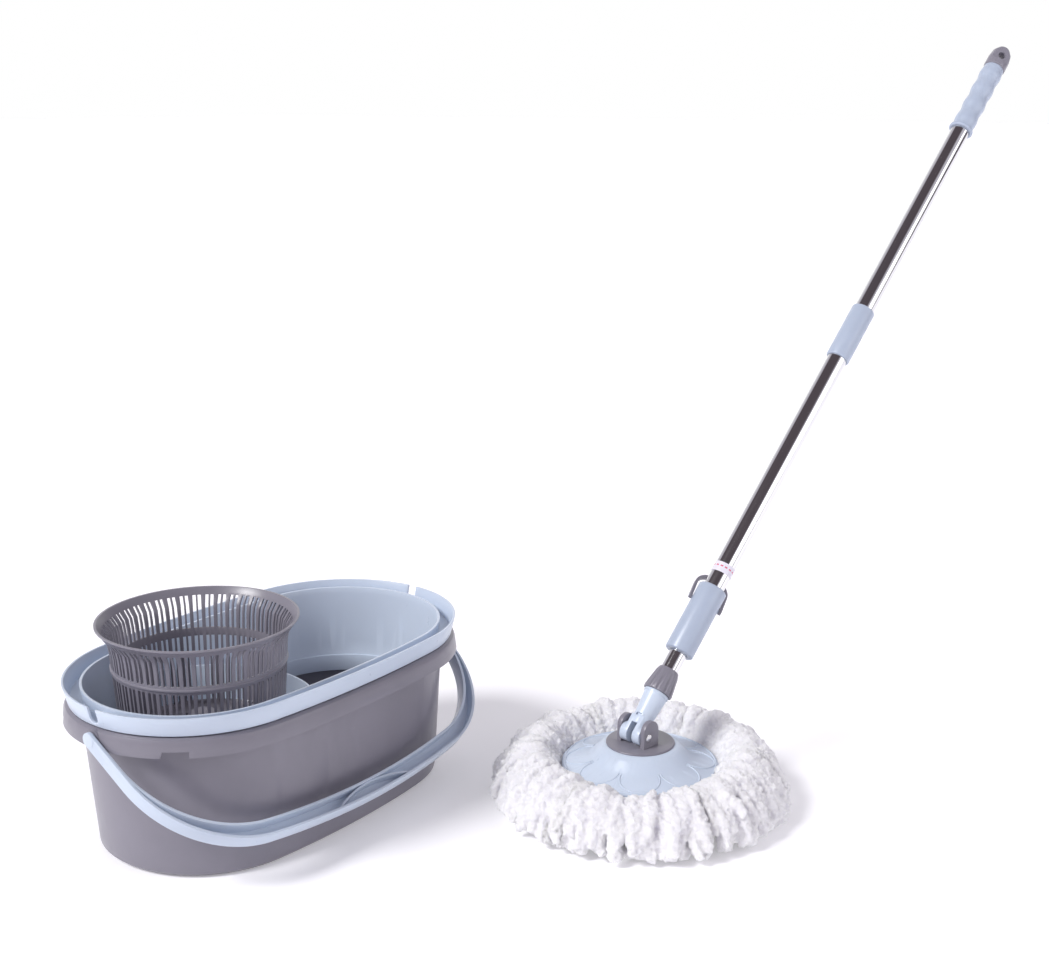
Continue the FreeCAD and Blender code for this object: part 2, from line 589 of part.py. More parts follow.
def make_tray():
    """The lift-out tray: flared rim, gutter, round basket well and an open rinsing chute."""
    skin = size.tray_wall * 2
    neck = size.tray_neck_inset * 2
    deep = neck + size.tray_taper * 2
    flare = size.rim_flare * 2
    rim = oval_stack("rim", [
        (size.rim_length - flare, size.rim_width - flare, size.gutter_low),
        (size.rim_length, size.rim_width, size.rim_top)])
    seat_plan = oval("seat_plan", size.bucket_length - size.tray_wall,
                     size.bucket_width - size.tray_wall, size.tray_seat)
    seat = extrude("seat", seat_plan, size.seat_tall)
    bowl = oval_stack("bowl", [
        (size.lip_length - deep, size.lip_width - deep, size.well_low),
        (size.lip_length - neck, size.lip_width - neck, size.gutter_low),
        (size.lip_length, size.lip_width, size.lip_top)])
    rim_hollow = oval_stack("rim_hollow", [
        (size.rim_length - flare - skin, size.rim_width - flare - skin,
         size.gutter_low + size.tray_wall),
        (size.rim_length - skin, size.rim_width - skin, size.rim_top)])
    gutter = cut("gutter", rim_hollow, bowl)
    hollow = oval_stack("bowl_hollow", [
        (size.lip_length - deep - skin, size.lip_width - deep - skin, size.well_top),
        (size.lip_length - neck - skin, size.lip_width - neck - skin, size.gutter_low),
        (size.lip_length - skin, size.lip_width - skin, size.rim_top)])
    outer = size.partition_radius + size.tray_wall
    ring = cut("partition_ring",
               cylinder("partition_outside", outer, size.partition_tall,
                        (-size.end_centre, 0, size.well_low)),
               cylinder("partition_inside", size.partition_radius, size.partition_tall,
                        (-size.end_centre, 0, size.well_low)))
    cavity = cut("cavity", hollow, ring)
    ledge = skin + size.ledge * 2
    chute_tall = size.chute_deep + size.well_floor
    opening_length = size.lip_length - deep - ledge
    opening_width = size.lip_width - deep - ledge
    chute_plan = oval("chute_plan", opening_length + skin, opening_width + skin,
                      size.tray_bottom)
    chute = cut("chute_outside", extrude("chute_block", chute_plan, chute_tall),
                cylinder("chute_well", size.partition_radius + size.ledge, chute_tall,
                         (-size.end_centre, 0, size.tray_bottom)))
    opening_plan = oval("opening_plan", opening_length, opening_width, size.tray_bottom - PAST)
    opening = cut("chute_opening",
                  extrude("opening_block", opening_plan, chute_tall + PAST * 2),
                  cylinder("opening_well", outer + size.ledge, chute_tall + PAST * 3,
                           (-size.end_centre, 0, size.tray_bottom - PAST)))
    solid = fuse("tray_solid", [rim, seat, bowl, chute])
    hollowed = cut("tray_hollowed", solid, fuse("tray_tools", [gutter, cavity, opening]))
    boss = cylinder("spindle_boss", size.spindle_boss, size.boss_tall,
                    (-size.basket_centre, 0, size.well_low))
    with_boss = fuse("tray_boss", [hollowed, boss])

    def drain(name, spot):
        return cylinder(name, size.drain_radius, size.well_floor + PAST * 2,
                        (spot[0], spot[1], size.well_low - PAST))

    drains = around("drains", drain, DRAIN_COUNT, size.drain_circle, -size.basket_centre)
    bore = cylinder("spindle_bore", size.spindle_radius, size.boss_tall + PAST * 2,
                    (-size.basket_centre, 0, size.well_low - PAST))
    notch_low = size.rim_top - size.rim_notch_deep
    half = size.rim_notch_wide / 2
    reach = size.rim_length / 2 - size.rim_flare - size.tray_wall * 2
    notches = []
    for side, start in (("right", reach), ("left", -reach - size.gutter_wide)):
        notches.append(box("rim_notch_" + side,
                           (size.gutter_wide, size.rim_notch_wide, size.rim_notch_deep),
                           (start, -half, notch_low + half)))
        notches.append(cylinder("rim_notch_foot_" + side, half, size.gutter_wide,
                                (start, 0, notch_low + half), "X"))
    tools = fuse("tray_holes", [bore, fuse("rim_notches", notches)])
    piece("wringer_tray", cut("wringer_tray", cut("tray_drained", with_boss, drains), tools))


# ---------------------------------------------------------------- spindle and basket

def make_spindle():
    """The steel axle in the tray, with the washers and the screw that keep the basket on."""
    here = Placement(Vector(-size.basket_centre.number, 0, 0), Rotation())
    top = size.spindle_top
    head_low = size.well_low - size.washer_thick
    spindle = turned("spindle", [
        (0, head_low), (size.spindle_head, head_low), (size.spindle_head, size.well_low),
        (size.spindle_radius, size.well_low), (size.spindle_radius, top), (0, top)])
    deep = size.spindle_tall / 2
    tapped = cylinder("spindle_tapping", size.screw_radius, deep, (0, 0, top - deep))
    piece("basket_spindle", cut("basket_spindle", spindle, tapped), here)
    piece("thrust_washer", tube("thrust_washer", size.washer_radius,
                                size.spindle_radius + size.spindle_play, size.washer_low,
                                size.washer_low + size.washer_thick), here)
    piece("retaining_washer", tube("retaining_washer", size.spindle_head, size.screw_radius,
                                   top, size.screw_seat), here)
    screw_low = top - deep + EDGE
    head_top = size.screw_seat + size.screw_head_tall
    piece("spindle_screw", turned("spindle_screw", [
        (0, screw_low), (size.screw_radius, screw_low), (size.screw_radius, size.screw_seat),
        (size.screw_head, size.screw_seat),
        (size.screw_head, size.screw_seat + size.screw_head_tall / 2),
        (size.screw_head / 2, head_top), (0, head_top)]), here)


def make_basket():
    """The spinning basket: slotted tapered wall, reinforcing ring, wide funnel and hub."""
    here = Placement(Vector(-size.basket_centre.number, 0, 0), Rotation())
    wall = size.basket_wall
    floor_top = size.basket_low + wall
    top = size.basket_low + size.basket_tall
    waist = top + size.funnel_waist
    lip = top + size.funnel_tall
    bush_outer = size.spindle_radius + size.spindle_play + size.bush_wall
    hub_top = size.bush_bottom + size.hub_tall
    mouth = size.basket_top_radius + size.funnel_wide
    waist_radius = size.basket_top_radius + size.funnel_waist_out
    ring_low = size.basket_low + size.ring_height
    ring_top = ring_low + size.ring_tall
    ring_slope = size.basket_draft / size.basket_tall
    ring_radius = size.basket_low_radius + ring_slope * size.ring_height
    ring_round = size.ring_proud / 2
    shell = turned("basket_shell", [
        (bush_outer, size.bush_bottom), (size.hub_radius, size.bush_bottom),
        (size.hub_radius, size.basket_low), (size.basket_low_radius, size.basket_low),
        (ring_radius, ring_low), (ring_radius + size.ring_proud, ring_low + ring_round),
        (ring_radius + size.ring_proud, ring_top - ring_round),
        (ring_radius + ring_slope * size.ring_tall, ring_top), (size.basket_top_radius, top),
        (waist_radius, waist), (mouth - EDGE, lip - size.lip_round),
        (mouth, lip - size.lip_round + EDGE / 2), (mouth, lip), (mouth - wall, lip),
        (waist_radius - wall, waist), (size.basket_top_radius - wall, top),
        (size.basket_low_radius - wall, floor_top + size.basket_heel),
        (size.basket_low_radius - wall - size.basket_heel, floor_top),
        (size.hub_radius, floor_top), (size.hub_radius, hub_top), (bush_outer, hub_top)])
    tiers = (("low", size.basket_low + size.slot_low, ring_low - size.slot_gap),
             ("high", ring_top + size.slot_gap, size.basket_low + size.slot_top))
    reach = size.basket_low_radius.number - size.funnel_wide.number
    pitch = (size.slot_wide.number + size.slot_rib.number) / 2
    slots = []
    for i in range(SLOT_PAIRS):
        for side in (-1, 1):
            for tier, start, stop in tiers:
                slot = doc.addObject("Part::Box", "slot_%s_%d_%d" % (tier, i, side))
                bind(slot, "Length", size.funnel_wide * 3)
                bind(slot, "Width", size.slot_wide)
                bind(slot, "Height", stop - start)
                facing = Rotation(Vector(0, 0, 1), 360.0 * i / SLOT_PAIRS)
                inward = Vector(reach, side * pitch - size.slot_wide.number / 2, start.number)
                slot.Placement = Placement(facing.multVec(inward), facing)
                slots.append(slot)
    slotted = cut("basket_slotted", shell, group("slots", slots))

    def hole(name, spot):
        return cylinder(name, size.basket_hole, wall * 3,
                        (spot[0], spot[1], size.basket_low - wall))

    holes = around("basket_holes", hole, BASKET_HOLE_COUNT, size.basket_hole_circle)
    piece("wringer_basket", cut("wringer_basket", slotted, holes), here)
    piece("basket_bush", tube("basket_bush", bush_outer, size.spindle_radius + size.spindle_play,
                              size.bush_bottom, hub_top), here)
    cap_in = size.hub_radius + size.cap_play
    cap_top = size.screw_seat + size.cap_dome
    skin = size.cap_skin
    piece("hub_cap", turned("hub_cap", [
        (cap_in, floor_top), (cap_in + size.cap_foot, floor_top),
        (cap_in + size.cap_foot - skin, cap_top - size.cap_dome), (cap_in - skin, cap_top),
        (0, cap_top + skin), (0, cap_top - skin), (cap_in - skin * 2, cap_top - skin * 2),
        (cap_in, cap_top - size.cap_dome)]), here)


# ---------------------------------------------------------------- mop head

head_place = Placement(Vector(size.mop_along.number, -size.mop_aside.number, 0),
                       Rotation(Vector(0, 0, 1), -size.lean_turn.number))


def make_disc():
    """The moulded press-on disc, a raised cone inside a flat skirt."""
    wall = size.disc_wall
    cone_low = size.disc_top - size.cone_tall
    edge_top = size.disc_edge + size.disc_edge_tall
    disc = turned("disc", [
        (0, size.disc_top), (size.disc_crown, size.disc_top),
        (size.disc_crown + size.crown_round, size.disc_top - EDGE),
        (size.disc_waist - EDGE, cone_low + size.crown_round),
        (size.disc_waist + size.disc_step, cone_low),
        (size.disc_radius - size.disc_step, edge_top + EDGE), (size.disc_radius, edge_top),
        (size.disc_radius, size.disc_edge), (size.disc_radius - wall, size.disc_edge),
        (size.disc_radius - wall, edge_top - EDGE), (size.disc_waist + EDGE, cone_low - wall),
        (size.disc_waist - size.crown_round, cone_low + size.crown_round - wall),
        (size.disc_crown + EDGE, size.disc_top - EDGE - wall),
        (size.disc_crown - EDGE, size.disc_top - wall), (0, size.disc_top - wall)])

    def screw_hole(name, spot):
        return cylinder(name, size.plate_screw + size.screw_play, wall * 3,
                        (spot[0], spot[1], size.disc_top - wall * 2))

    holes = around("disc_holes", screw_hole, PLATE_SCREW_COUNT, size.plate_screw_circle, start=45)
    piece("mop_disc", cut("mop_disc", disc, holes), head_place)


def make_refill():
    """The clip-in refill: its plastic ring, and the yarn as one closed outer shape."""
    rim = size.disc_radius - size.disc_wall - size.ring_play
    ring_top = size.ring_low + size.ring_thick
    lip_top = ring_top + size.ring_lip_tall
    piece("refill_ring", turned("refill_ring", [
        (size.ring_bore, size.ring_low), (rim, size.ring_low), (rim, ring_top),
        (size.ring_bore + size.ring_lip, ring_top), (size.ring_bore + size.ring_lip, lip_top),
        (size.ring_bore, lip_top)]), head_place)
    beside = size.disc_radius + size.ring_play
    outline = [(size.ring_bore, 0), (size.yarn_radius - size.yarn_under, 0)]
    for start, stop, shares in ((size.yarn_crest_radius, size.yarn_radius, YARN_OUTSIDE),
                                (beside, size.yarn_crest_radius, YARN_INSIDE)):
        for along, up in shares:
            outline.append((start + (stop - start) * along, size.yarn_height * up))
    outline += [(beside, size.ring_low), (size.ring_bore, size.ring_low)]
    piece("mop_yarn", turned("mop_yarn", outline), head_place)


def make_hinge():
    """The round hinge plate with its two ears, its four screws and the hinge pin."""
    ear_out = size.ear_gap / 2 + size.ear_thick
    ear_centre = size.ear_shift - size.hinge_shift
    ear_top = size.pin_height + size.ear_rise
    parts = [turned("plate", [
        (0, size.disc_top), (size.plate_radius, size.disc_top),
        (size.plate_radius, size.plate_top - size.plate_edge),
        (size.plate_radius - size.plate_edge, size.plate_top), (0, size.plate_top)])]
    for side, start in (("far", size.ear_gap / 2), ("near", -ear_out)):
        parts.append(cylinder("ear_" + side, size.ear_radius, size.ear_thick,
                              (ear_centre, start, ear_top), "Y"))
        parts.append(box("ear_foot_" + side,
                         (size.ear_radius * 2, size.ear_thick, ear_top - size.plate_top + PAST),
                         (ear_centre - size.ear_radius, start, size.plate_top - PAST)))
    bore = cylinder("ear_bore", size.pin_radius, ear_out * 2 + PAST * 2,
                    (-size.hinge_shift, -ear_out - PAST, size.pin_height), "Y")

    def bite(name, spot):
        return cylinder(name, size.plate_screw, size.screw_bite, (spot[0], spot[1], size.disc_top))

    bites = around("plate_bites", bite, PLATE_SCREW_COUNT, size.plate_screw_circle, start=45)
    bored = cut("plate_bored", fuse("plate_eared", parts), bore)
    piece("hinge_plate", cut("hinge_plate", bored, bites), head_place)

    def screw(name, spot):
        under = size.disc_top - size.disc_wall
        head_tall = size.plate_screw_head - EDGE
        shank = cylinder(name + "_shank", size.plate_screw, size.disc_wall + size.screw_bite,
                         (spot[0], spot[1], under))
        head = cylinder(name + "_head", size.plate_screw_head, head_tall,
                        (spot[0], spot[1], under - head_tall))
        return fuse(name, [shank, head])

    piece("plate_screws", around("plate_screws", screw, PLATE_SCREW_COUNT,
                                 size.plate_screw_circle, start=45), head_place)
    head_end = ear_out + size.pin_head_tall
    head_waist = ear_out + size.pin_head_tall / 2
    pin = turned("pin_shape", [
        (0, -head_end), (size.pin_head / 2, -head_end), (size.pin_head, -head_waist),
        (size.pin_head, -ear_out), (size.pin_radius, -ear_out), (size.pin_radius, ear_out),
        (size.pin_head, ear_out), (size.pin_head, head_waist), (size.pin_head / 2, head_end),
        (0, head_end)])
    lie = Placement(Vector(-size.hinge_shift.number, 0, size.pin_height.number), AXIS_TURNS["Y"])
    piece("hinge_pin", pin, head_place.multiply(lie))


# ---------------------------------------------------------------- pole

hinge_spot = Vector(-size.hinge_shift.number, 0, size.pin_height.number)
pole_place = head_place.multiply(Placement(hinge_spot,
                                           Rotation(Vector(0, 1, 0), size.pole_lean.number)))
lever_place = pole_place.multiply(Placement(Vector(), Rotation(Vector(0, 0, 1),
                                                               size.lever_turn.number)))


def make_neck():
    """The forked lower joint: two lobes on the pin, a socket and a spigot for the nut."""
    lobe_out = size.ear_gap / 2 - size.lobe_play
    radius = size.lobe_radius
    root_tall = size.socket_low - size.slot_tall
    block = fuse("fork_block", [
        cylinder("fork_round", radius, lobe_out * 2, (0, -lobe_out, 0), "Y"),
        common("fork_root",
               box("fork_box", (radius * 2, lobe_out * 2, root_tall), (-radius, -lobe_out, 0)),
               cylinder("fork_turned", size.neck_top_radius, root_tall))])
    gap_top = radius - EDGE
    gap = box("fork_gap", (radius * 3, size.lobe_gap, radius + gap_top + PAST),
              (-radius * 1.5, -size.lobe_gap / 2, -radius - PAST))
    flange_top = size.neck_top + size.flange_tall
    stem = turned("neck_stem", [
        (0, radius), (size.neck_radius, radius), (size.neck_radius, root_tall),
        (size.neck_top_radius, size.neck_top - size.slot_tall),
        (size.neck_top_radius, size.neck_top), (size.neck_flange, size.neck_top),
        (size.neck_flange, flange_top), (size.spigot_radius, flange_top),
        (size.spigot_radius, size.spigot_top), (0, size.spigot_top)])
    body = fuse("neck_body", [cut("fork", block, gap), stem])
    socket = cylinder("neck_socket", size.inner_radius + size.fit_play,
                      size.spigot_top - size.socket_low + PAST, (0, 0, size.socket_low))
    pin_hole = cylinder("neck_pin_hole", size.pin_radius + size.pin_play,
                        lobe_out * 2 + PAST * 2, (0, -lobe_out - PAST, 0), "Y")
    slot = box("neck_slot", (size.neck_radius / 2, size.slot_across, size.slot_tall),
               (-size.neck_top_radius, -size.slot_across / 2,
                size.socket_low - size.slot_tall - EDGE / 2))
    tools = fuse("neck_tools", [socket, pin_hole, slot])
    piece("neck", cut("neck", body, tools), pole_place)


def make_nut():
    """The fluted clamp nut and the split collet that it squeezes on the inner pole."""
    bore = size.spigot_radius + size.nut_play
    mouth = size.inner_radius + size.nut_play
    shoulder = size.nut_low + size.nut_tall / 3
    body = turned("nut_body", [
        (bore, size.nut_low), (size.nut_low_radius - EDGE / 2, size.nut_low),
        (size.nut_low_radius, size.nut_low + EDGE * 2),
        (size.nut_low_radius - EDGE, shoulder),
        (size.nut_top_radius + EDGE * 1.5, size.nut_top - EDGE * 5),
        (size.nut_top_radius, size.nut_top - EDGE / 2),
        (size.nut_top_radius - EDGE / 2, size.nut_top), (mouth, size.nut_top),
        (mouth, size.nut_top - EDGE * 3), (bore - EDGE, size.nut_top - EDGE * 4.5),
        (bore, size.spigot_top + EDGE)])

    def flute(name, spot):
        """A groove that leans in with the nut's taper."""
        groove = cylinder(name, size.flute_radius, size.nut_tall * 1.2,
                          (spot[0], spot[1], size.nut_low - PAST))
        across = Vector(-spot[1].number, spot[0].number, 0)
        groove.Placement = Placement(groove.Placement.Base,
                                     Rotation(across, -size.flute_lean.number))
        return groove

    flute_circle = size.nut_low_radius + size.flute_radius - size.flute_deep
    flutes = around("nut_flutes", flute, FLUTE_COUNT, flute_circle)
    piece("collet_nut", cut("collet_nut", body, flutes), pole_place)
    collet_low = size.spigot_top + size.nut_play
    collet_radius = size.spigot_radius - EDGE / 2
    ring = tube("collet_ring", collet_radius, size.inner_radius + size.fit_play, collet_low,
                size.nut_top - EDGE * 5)
    slit = box("collet_slit", (size.spigot_radius, size.collet_slit, size.nut_tall),
               (0, -size.collet_slit / 2, size.spigot_top))
    piece("collet", cut("collet", ring, slit), pole_place)


def twisted_bar(width, thick, low, top):
    """A flat bar twisted about the pole's axis with the drive's lead."""
    lead = size.rod_lead.number
    turn = Rotation(Vector(0, 0, 1), 360.0 * low / lead)
    corners = [Vector(width / 2, thick / 2, 0), Vector(-width / 2, thick / 2, 0),
               Vector(-width / 2, -thick / 2, 0), Vector(width / 2, -thick / 2, 0)]
    corners = [turn.multVec(corner) + Vector(0, 0, low) for corner in corners]
    outline = Part.makePolygon(corners + corners[:1])
    spine = Part.Wire(Part.makeLine(Vector(0, 0, low), Vector(0, 0, top)))
    guide = Part.Wire(Part.makeHelix(lead, top - low, 10.0))
    guide.rotate(Vector(), Vector(0, 0, 1), 360.0 * low / lead)
    guide.translate(Vector(0, 0, low))
    sweep = Part.BRepOffsetAPI.MakePipeShell(spine)
    sweep.setAuxiliarySpine(guide, True, 0)
    sweep.add(outline)
    sweep.build()
    sweep.makeSolid()
    return sweep.shape()


def made_shape(name, shape):
    item = doc.addObject("Part::Feature", name)
    item.Shape = shape
    return item


def make_drive():
    """The inner pole and, in its top, the nut that rides on the twisted rod."""
    wide = size.rod_wide.number
    thick = size.rod_thick.number
    bore = size.inner_radius - size.tube_wall
    piece("inner_pole", tube("inner_pole", size.inner_radius, bore,
                             size.socket_low + size.fit_play, size.inner_top), pole_place)
    plug = bore - size.fit_play
    pocket = size.drive_radius + size.screw_play
    floor = size.drive_low - size.nut_play
    housing_low = size.inner_top - size.housing_drop
    housing_top = size.inner_top + size.housing_head
    collar = size.inner_radius + size.housing_flange_out
    seat = size.inner_top + size.fit_play
    piece("nut_housing", turned("nut_housing", [
        (size.rod_bore, housing_low), (plug, housing_low), (plug, seat), (collar, seat),
        (collar, housing_top), (pocket, housing_top), (pocket, floor), (size.rod_bore, floor)]),
        pole_place)
    drive_top = size.drive_low + size.drive_tall
    blank = cylinder("drive_blank", size.drive_radius, size.drive_tall, (0, 0, size.drive_low))
    thread = made_shape("drive_thread", twisted_bar(
        wide + size.rod_play.number * 2, thick + size.rod_play.number * 2,
        size.drive_low.number - PAST, drive_top.number + PAST))
    piece("drive_nut", cut("drive_nut", blank, thread), pole_place)
    piece("nut_retainer", tube("nut_retainer", size.drive_radius, size.rod_bore,
                               drive_top + size.nut_play, housing_top), pole_place)
    rod = made_shape("spiral_rod", twisted_bar(wide, thick, size.rod_low.number,
                                               size.rod_top.number))
    piece("spiral_rod", rod, pole_place)
    snug = size.fit_play.number
    anchor = cylinder("anchor_blank", size.insert_bore - size.fit_play, size.insert_half,
                      (0, 0, size.tube_joint))
    grip_slot = made_shape("anchor_slot", twisted_bar(
        wide + snug * 2, thick + snug * 2, size.tube_joint.number - PAST,
        size.rod_top.number + snug))
    piece("rod_anchor", cut("rod_anchor", anchor, grip_slot), pole_place)


def make_sleeve():
    """The lock sleeve with the lever's two studs, and the bush that guides the inner pole."""
    on_tube = size.tube_radius + size.fit_play
    piece("guide_bush", tube("guide_bush", size.bush_radius, size.inner_radius + size.bush_play,
                             size.bush_low, size.bush_top), pole_place)
    bush_bore = size.bush_radius + size.bush_play
    lip_bore = size.inner_radius + size.nut_play
    bush_shelf = size.bush_low - size.nut_play
    tube_shelf = size.tube_low - EDGE
    sleeve = turned("sleeve_body", [
        (lip_bore, size.sleeve_low), (size.sleeve_radius - EDGE, size.sleeve_low),
        (size.sleeve_radius, size.sleeve_low + EDGE),
        (size.sleeve_radius, size.sleeve_top - EDGE * 1.5),
        (size.sleeve_radius - EDGE * 1.5, size.sleeve_top), (on_tube, size.sleeve_top),
        (on_tube, tube_shelf), (bush_bore, tube_shelf), (bush_bore, bush_shelf),
        (lip_bore, bush_shelf)])
    arm_out = size.sleeve_radius + size.lever_gap + size.lever_thick
    root = size.sleeve_wall / 2
    studs = []
    for side, start in (("far", size.sleeve_radius - root), ("near", -arm_out)):
        studs.append(cylinder("stud_" + side, size.lever_pin,
                              size.lever_thick + size.lever_gap + root,
                              (0, start, size.lever_height), "Y"))
    stud_pair = group("studs", studs)
    stud_pair.Placement = Placement(Vector(), Rotation(Vector(0, 0, 1), size.lever_turn.number))
    piece("lock_sleeve", fuse("lock_sleeve", [sleeve, stud_pair]), pole_place)


def make_tubes():
    """The two chrome tubes, the insert and sleeve that join them, and the marker band."""
    radius = size.tube_radius
    bore = radius - size.tube_wall
    on_tube = radius + size.fit_play
    joint = size.tube_joint
    piece("lower_pole", tube("lower_pole", radius, bore, size.tube_low, joint - size.nut_gap),
          pole_place)
    piece("upper_pole", tube("upper_pole", radius, bore, joint, size.upper_top), pole_place)
    piece("marker_band", tube("marker_band", radius + size.band_thick, radius, size.band_low,
                              size.band_low + size.band_tall), pole_place)
    piece("coupler_insert", tube("coupler_insert", bore - size.fit_play, size.insert_bore,
                                 joint - size.insert_half, joint + size.insert_half), pole_place)
    low = joint - size.middle_half
    top = joint + size.middle_half
    outer = size.middle_radius
    piece("mid_sleeve", turned("mid_sleeve", [
        (on_tube, low), (outer - EDGE, low), (outer, low + EDGE), (outer, top - EDGE),
        (outer - EDGE, top), (on_tube, top)]), pole_place)


def make_grip():
    """The waved hand grip and the hanging cap plugged into the pole's end."""
    on_tube = size.tube_radius + size.fit_play
    foot = size.grip_low + size.grip_flange_tall
    run = size.grip_top - foot
    outline = [(on_tube, size.grip_low), (size.grip_flange - EDGE, size.grip_low),
               (size.grip_flange, size.grip_low + EDGE), (size.grip_flange, foot - EDGE)]
    for i in range(GRIP_WAVES * WAVE_STEPS + 1):
        dip = 0.5 + 0.5 * math.cos(2 * math.pi * i / WAVE_STEPS)
        outline.append((size.grip_radius - size.grip_dip * dip,
                        foot + run * (i / (GRIP_WAVES * WAVE_STEPS))))
    outline.append((on_tube, size.grip_top))
    piece("grip", turned("grip", outline), pole_place)
    spigot = size.tube_radius - size.tube_wall - size.fit_play
    plug_low = size.upper_top - size.cap_spigot
    plug_top = size.upper_top + size.fit_play
    neck = size.tube_radius - EDGE / 2
    low = size.grip_top + size.fit_play
    cap = turned("cap_body", [
        (0, plug_low), (spigot, plug_low), (spigot, plug_top), (neck, plug_top), (neck, low),
        (size.cap_radius - EDGE, low), (size.cap_radius, low + EDGE),
        (size.cap_radius, low + size.cap_tall * 0.45),
        (size.cap_radius - EDGE * 1.5, low + size.cap_tall * 0.75),
        (size.cap_tip + EDGE * 2.5, size.cap_top - EDGE), (size.cap_tip, size.cap_top),
        (0, size.cap_top)])
    broad = size.cap_radius * 3
    flats = []
    for side, start in (("front", size.cap_flat / 2), ("back", -size.cap_flat / 2 - broad)):
        flats.append(box("cap_flat_" + side, (broad, broad, broad),
                         (start, -broad / 2, size.hang_height - size.hang_radius * 2)))
    hole = cylinder("hang_hole", size.hang_radius, broad, (-broad / 2, 0, size.hang_height), "X")
    trimmed = cut("cap_trimmed", cap, fuse("cap_tools", flats + [hole]))
    piece("hang_cap", trimmed, lever_place)


def make_lever():
    """The lock lever: a flat U that swings on the sleeve's two studs."""
    inner = size.sleeve_radius + size.lever_gap
    outer = inner + size.lever_thick
    half = size.lever_wide / 2
    ring = cut("lever_ring",
               cylinder("lever_outside", outer, size.lever_wide, (-half, 0, size.lever_reach),
                        "X"),
               cylinder("lever_inside", inner, size.lever_wide + PAST * 2,
                        (-half - PAST, 0, size.lever_reach), "X"))
    parts = [common("lever_bow", ring,
                    box("lever_half", (size.lever_wide + PAST * 2, outer * 2 + PAST * 2,
                                       outer + PAST),
                        (-half - PAST, -outer - PAST, size.lever_reach)))]
    for side, start in (("far", inner), ("near", -outer)):
        parts.append(box("arm_" + side, (size.lever_wide, size.lever_thick, size.lever_reach),
                         (-half, start, 0)))
        parts.append(cylinder("arm_end_" + side, half, size.lever_thick, (0, start, 0), "Y"))
    hole = cylinder("lever_bore", size.lever_pin + size.lever_play, outer * 2 + PAST * 2,
                    (0, -outer - PAST, 0), "Y")
    lever = cut("lock_lever", fuse("lever_solid", parts), hole)
    tip = Placement(Vector(0, 0, size.lever_height.number),
                    Rotation(Vector(0, 1, 0), size.lever_slope.number))
    piece("lock_lever", lever, lever_place.multiply(tip))


make_bucket()
make_bail()
make_tray()
make_spindle()
make_basket()
make_disc()
make_refill()
make_hinge()
make_neck()
make_nut()
make_drive()
make_sleeve()
make_tubes()
make_grip()
make_lever()
doc.recompute()

failed = [item.Name for item in doc.Objects if "Invalid" in item.State or "Error" in item.State]
if failed:
    raise RuntimeError("features that did not compute: %s" % ", ".join(failed))
for node, item in pieces.items():
    if item.Shape.isNull() or not item.Shape.isValid() or not item.Shape.Solids:
        raise RuntimeError("%s has no valid solid" % node)

os.makedirs("parts", exist_ok=True)
for node, item in pieces.items():
    item.Shape.exportStep("parts/%s.step" % node)
    print("%-18s %9.1f mm3, %d solid(s)" % (node, item.Shape.Volume, len(item.Shape.Solids)))
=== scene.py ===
import json
import math
import random

import bpy
import numpy as np
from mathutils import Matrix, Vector


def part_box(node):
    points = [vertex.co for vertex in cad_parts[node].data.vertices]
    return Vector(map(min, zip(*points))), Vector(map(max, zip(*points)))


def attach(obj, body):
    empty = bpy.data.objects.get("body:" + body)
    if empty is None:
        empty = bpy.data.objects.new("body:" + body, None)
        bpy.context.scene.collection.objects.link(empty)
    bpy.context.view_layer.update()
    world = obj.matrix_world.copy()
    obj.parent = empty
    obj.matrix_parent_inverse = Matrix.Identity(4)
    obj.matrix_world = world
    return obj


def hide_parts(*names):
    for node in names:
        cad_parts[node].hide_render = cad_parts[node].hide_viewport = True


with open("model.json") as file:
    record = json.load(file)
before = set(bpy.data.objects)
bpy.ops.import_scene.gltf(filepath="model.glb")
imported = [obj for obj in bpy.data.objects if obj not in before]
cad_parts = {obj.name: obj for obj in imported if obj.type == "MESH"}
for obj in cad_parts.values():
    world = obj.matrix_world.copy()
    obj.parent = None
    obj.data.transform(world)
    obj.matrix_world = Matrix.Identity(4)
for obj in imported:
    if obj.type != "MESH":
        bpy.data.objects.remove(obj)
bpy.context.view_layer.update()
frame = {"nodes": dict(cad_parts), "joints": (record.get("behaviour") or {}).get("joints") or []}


# ------------------------------------------------------------------ camera, light and floor
# The set stands on a white sweep. A broad soft key from the left throws a pale shadow to the
# right, a fill stands to the right of the camera, and dark cards give the tubes their stripes.

camera = bpy.data.objects.new("camera", bpy.data.cameras.new("camera"))
bpy.context.collection.objects.link(camera)
camera.location = (-1.0295, -1.0809, 0.7033)
camera.rotation_euler = (math.radians(90 - 13.92), 0, math.radians(-53.53))
camera.data.lens = 52.8
camera.data.sensor_width = 36
bpy.context.scene.camera = camera
bpy.context.scene.view_settings.view_transform = "Standard"


fill = bpy.data.objects.new("front_fill", bpy.data.lights.new("front_fill", "AREA"))
bpy.context.collection.objects.link(fill)
fill.data.shape = "RECTANGLE"
fill.data.size, fill.data.size_y = 1.6, 1.2
fill.data.energy = 10
fill.location = (0.75, -2.2, 0.9)
middle = Vector((0.1, -0.15, 0.1))
fill.rotation_euler = (middle - fill.location).to_track_quat("-Z", "Y").to_euler()

key = bpy.data.objects.new("key", bpy.data.lights.new("key", "SUN"))
bpy.context.collection.objects.link(key)
key.data.energy = 2.6
key.data.angle = math.radians(20)
key.rotation_euler = Vector((0.70, -0.33, -0.70)).to_track_quat("-Z", "Y").to_euler()

world = bpy.data.worlds.new("white_room")
bpy.context.scene.world = world
world.use_nodes = True
room = world.node_tree
way = room.nodes.new("ShaderNodeTexCoord")


